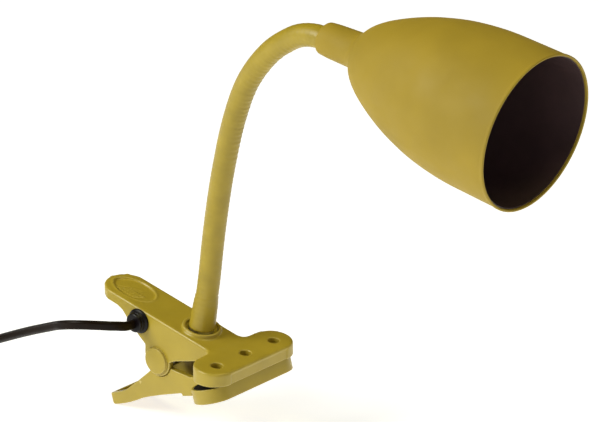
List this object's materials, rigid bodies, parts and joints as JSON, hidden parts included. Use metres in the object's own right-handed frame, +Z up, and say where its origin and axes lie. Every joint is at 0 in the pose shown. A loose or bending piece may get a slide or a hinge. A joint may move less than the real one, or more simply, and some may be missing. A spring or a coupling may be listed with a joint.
{
  "type": "clip-on reading lamp",
  "caption": "Clip-on reading lamp: a spring clamp with thumb levers, a silicone-sleeved gooseneck, a bell-shaped metal shade and a flat mains lead with an inline switch.",
  "frame": {"origin": "centre of the upper grip pad's lower face, midway between the cheeks", "axes": "+X towards the jaw tips, the way the shade faces; +Z up, square to the upper grip pad; +Y to the side away from the cord gland"},
  "size_m": [0.4753, 0.153, 0.2715],
  "materials": {
    "clip_plastic": "satin moulded plastic, mustard",
    "grip_rubber": "matte black rubber",
    "sleeve_silicone": "matte silicone rubber, mustard",
    "conduit_steel": "wound zinc-plated steel",
    "zinc_steel": "zinc plated",
    "spring_steel": "drawn spring wire",
    "gland_plastic": "matte black plastic",
    "lead_pvc": "soft black PVC",
    "tie": "matte black strap",
    "switch_plastic": "fine-grained black plastic",
    "rocker_plastic": "smooth black plastic",
    "nickel_pins": "bright nickel plating",
    "shade_paint": "matte powder coat, mustard",
    "shade_inside": "matte black coating",
    "lampholder_plastic": "black moulded plastic",
    "contact_brass": "plain brass"
  },
  "bodies": {
    "clip": {"upper_jaw": "clip_plastic", "upper_grip_pad": "grip_rubber", "pivot_pin": "zinc_steel", "pivot_cap_near": "clip_plastic", "pivot_cap_far": "clip_plastic", "clip_spring": "spring_steel", "cord_gland": "gland_plastic", "gland_nut": "gland_plastic", "inner_lead": "lead_pvc", "neck_root_ferrule": "zinc_steel", "neck_washer": "zinc_steel", "neck_nut": "zinc_steel", "conduit_0": "conduit_steel", "sleeve_0": "sleeve_silicone", "mains_lead": "lead_pvc", "lead_coil": "lead_pvc", "coil_tie": "tie", "lead_to_switch": "lead_pvc", "switch_base": "switch_plastic", "switch_cover": "switch_plastic", "lead_to_plug": "lead_pvc", "plug_body": "switch_plastic", "plug_pins": "nickel_pins"},
    "lower_jaw": {"lower_jaw": "clip_plastic", "lower_grip_pad": "grip_rubber"},
    "neck_1": {"conduit_1": "conduit_steel", "sleeve_1": "sleeve_silicone"},
    "neck_2": {"conduit_2": "conduit_steel", "sleeve_2": "sleeve_silicone"},
    "neck_3": {"conduit_3": "conduit_steel", "sleeve_3": "sleeve_silicone"},
    "neck_4": {"conduit_4": "conduit_steel", "sleeve_4": "sleeve_silicone"},
    "neck_5": {"conduit_5": "conduit_steel", "sleeve_5": "sleeve_silicone"},
    "head": {"conduit_6": "conduit_steel", "sleeve_6": "sleeve_silicone", "head_ferrule": "zinc_steel", "head_washer": "zinc_steel", "head_nut": "zinc_steel", "shade": "shade_paint", "shade_liner": "shade_inside", "lampholder_cap": "lampholder_plastic", "lampholder_body": "lampholder_plastic", "contact_shell": "contact_brass", "centre_contact": "contact_brass", "holder_wires": "lead_pvc"},
    "switch_rocker": {"switch_rocker": "rocker_plastic"}
  },
  "joints": [
    {"name": "jaw_pivot", "type": "hinge", "parent": "clip", "child": "lower_jaw", "pos_m": [-0.054, 0, -0.00721], "axis": [0, 1, 0], "range_deg": [0, 45], "stiffness_Nm_per_rad": 0.9, "springref_deg": -57.3, "deforming": ["clip_spring"]},
    {"name": "neck_bend_1", "type": "hinge", "parent": "clip", "child": "neck_1", "pos_m": [-0.02525, 0, 0.05273], "axis": [0, 1, 0], "range_deg": [-35, 35]},
    {"name": "neck_bend_2", "type": "hinge", "parent": "neck_1", "child": "neck_2", "pos_m": [-0.01851, 0, 0.08985], "axis": [0.9839, 0, -0.1788], "range_deg": [-35, 35]},
    {"name": "neck_bend_3", "type": "hinge", "parent": "neck_2", "child": "neck_3", "pos_m": [-0.01176, 0, 0.12698], "axis": [0, -1, 0], "range_deg": [-35, 35]},
    {"name": "neck_bend_4", "type": "hinge", "parent": "neck_3", "child": "neck_4", "pos_m": [-0.003, 0, 0.15398], "axis": [-0.9016, 0, 0.4326], "range_deg": [-35, 35]},
    {"name": "neck_bend_5", "type": "hinge", "parent": "neck_4", "child": "neck_5", "pos_m": [0.01258, 0, 0.17771], "axis": [0, 1, 0], "range_deg": [-35, 35]},
    {"name": "neck_bend_6", "type": "hinge", "parent": "neck_5", "child": "head", "pos_m": [0.03389, 0, 0.19647], "axis": [0.5548, 0, -0.832], "range_deg": [-35, 35]},
    {"name": "rocker_tilt", "type": "hinge", "parent": "clip", "child": "switch_rocker", "pos_m": [-0.19342, -0.08593, -0.032], "axis": [-0.1392, -0.9903, 0], "range_deg": [0, 11]}
  ]
}
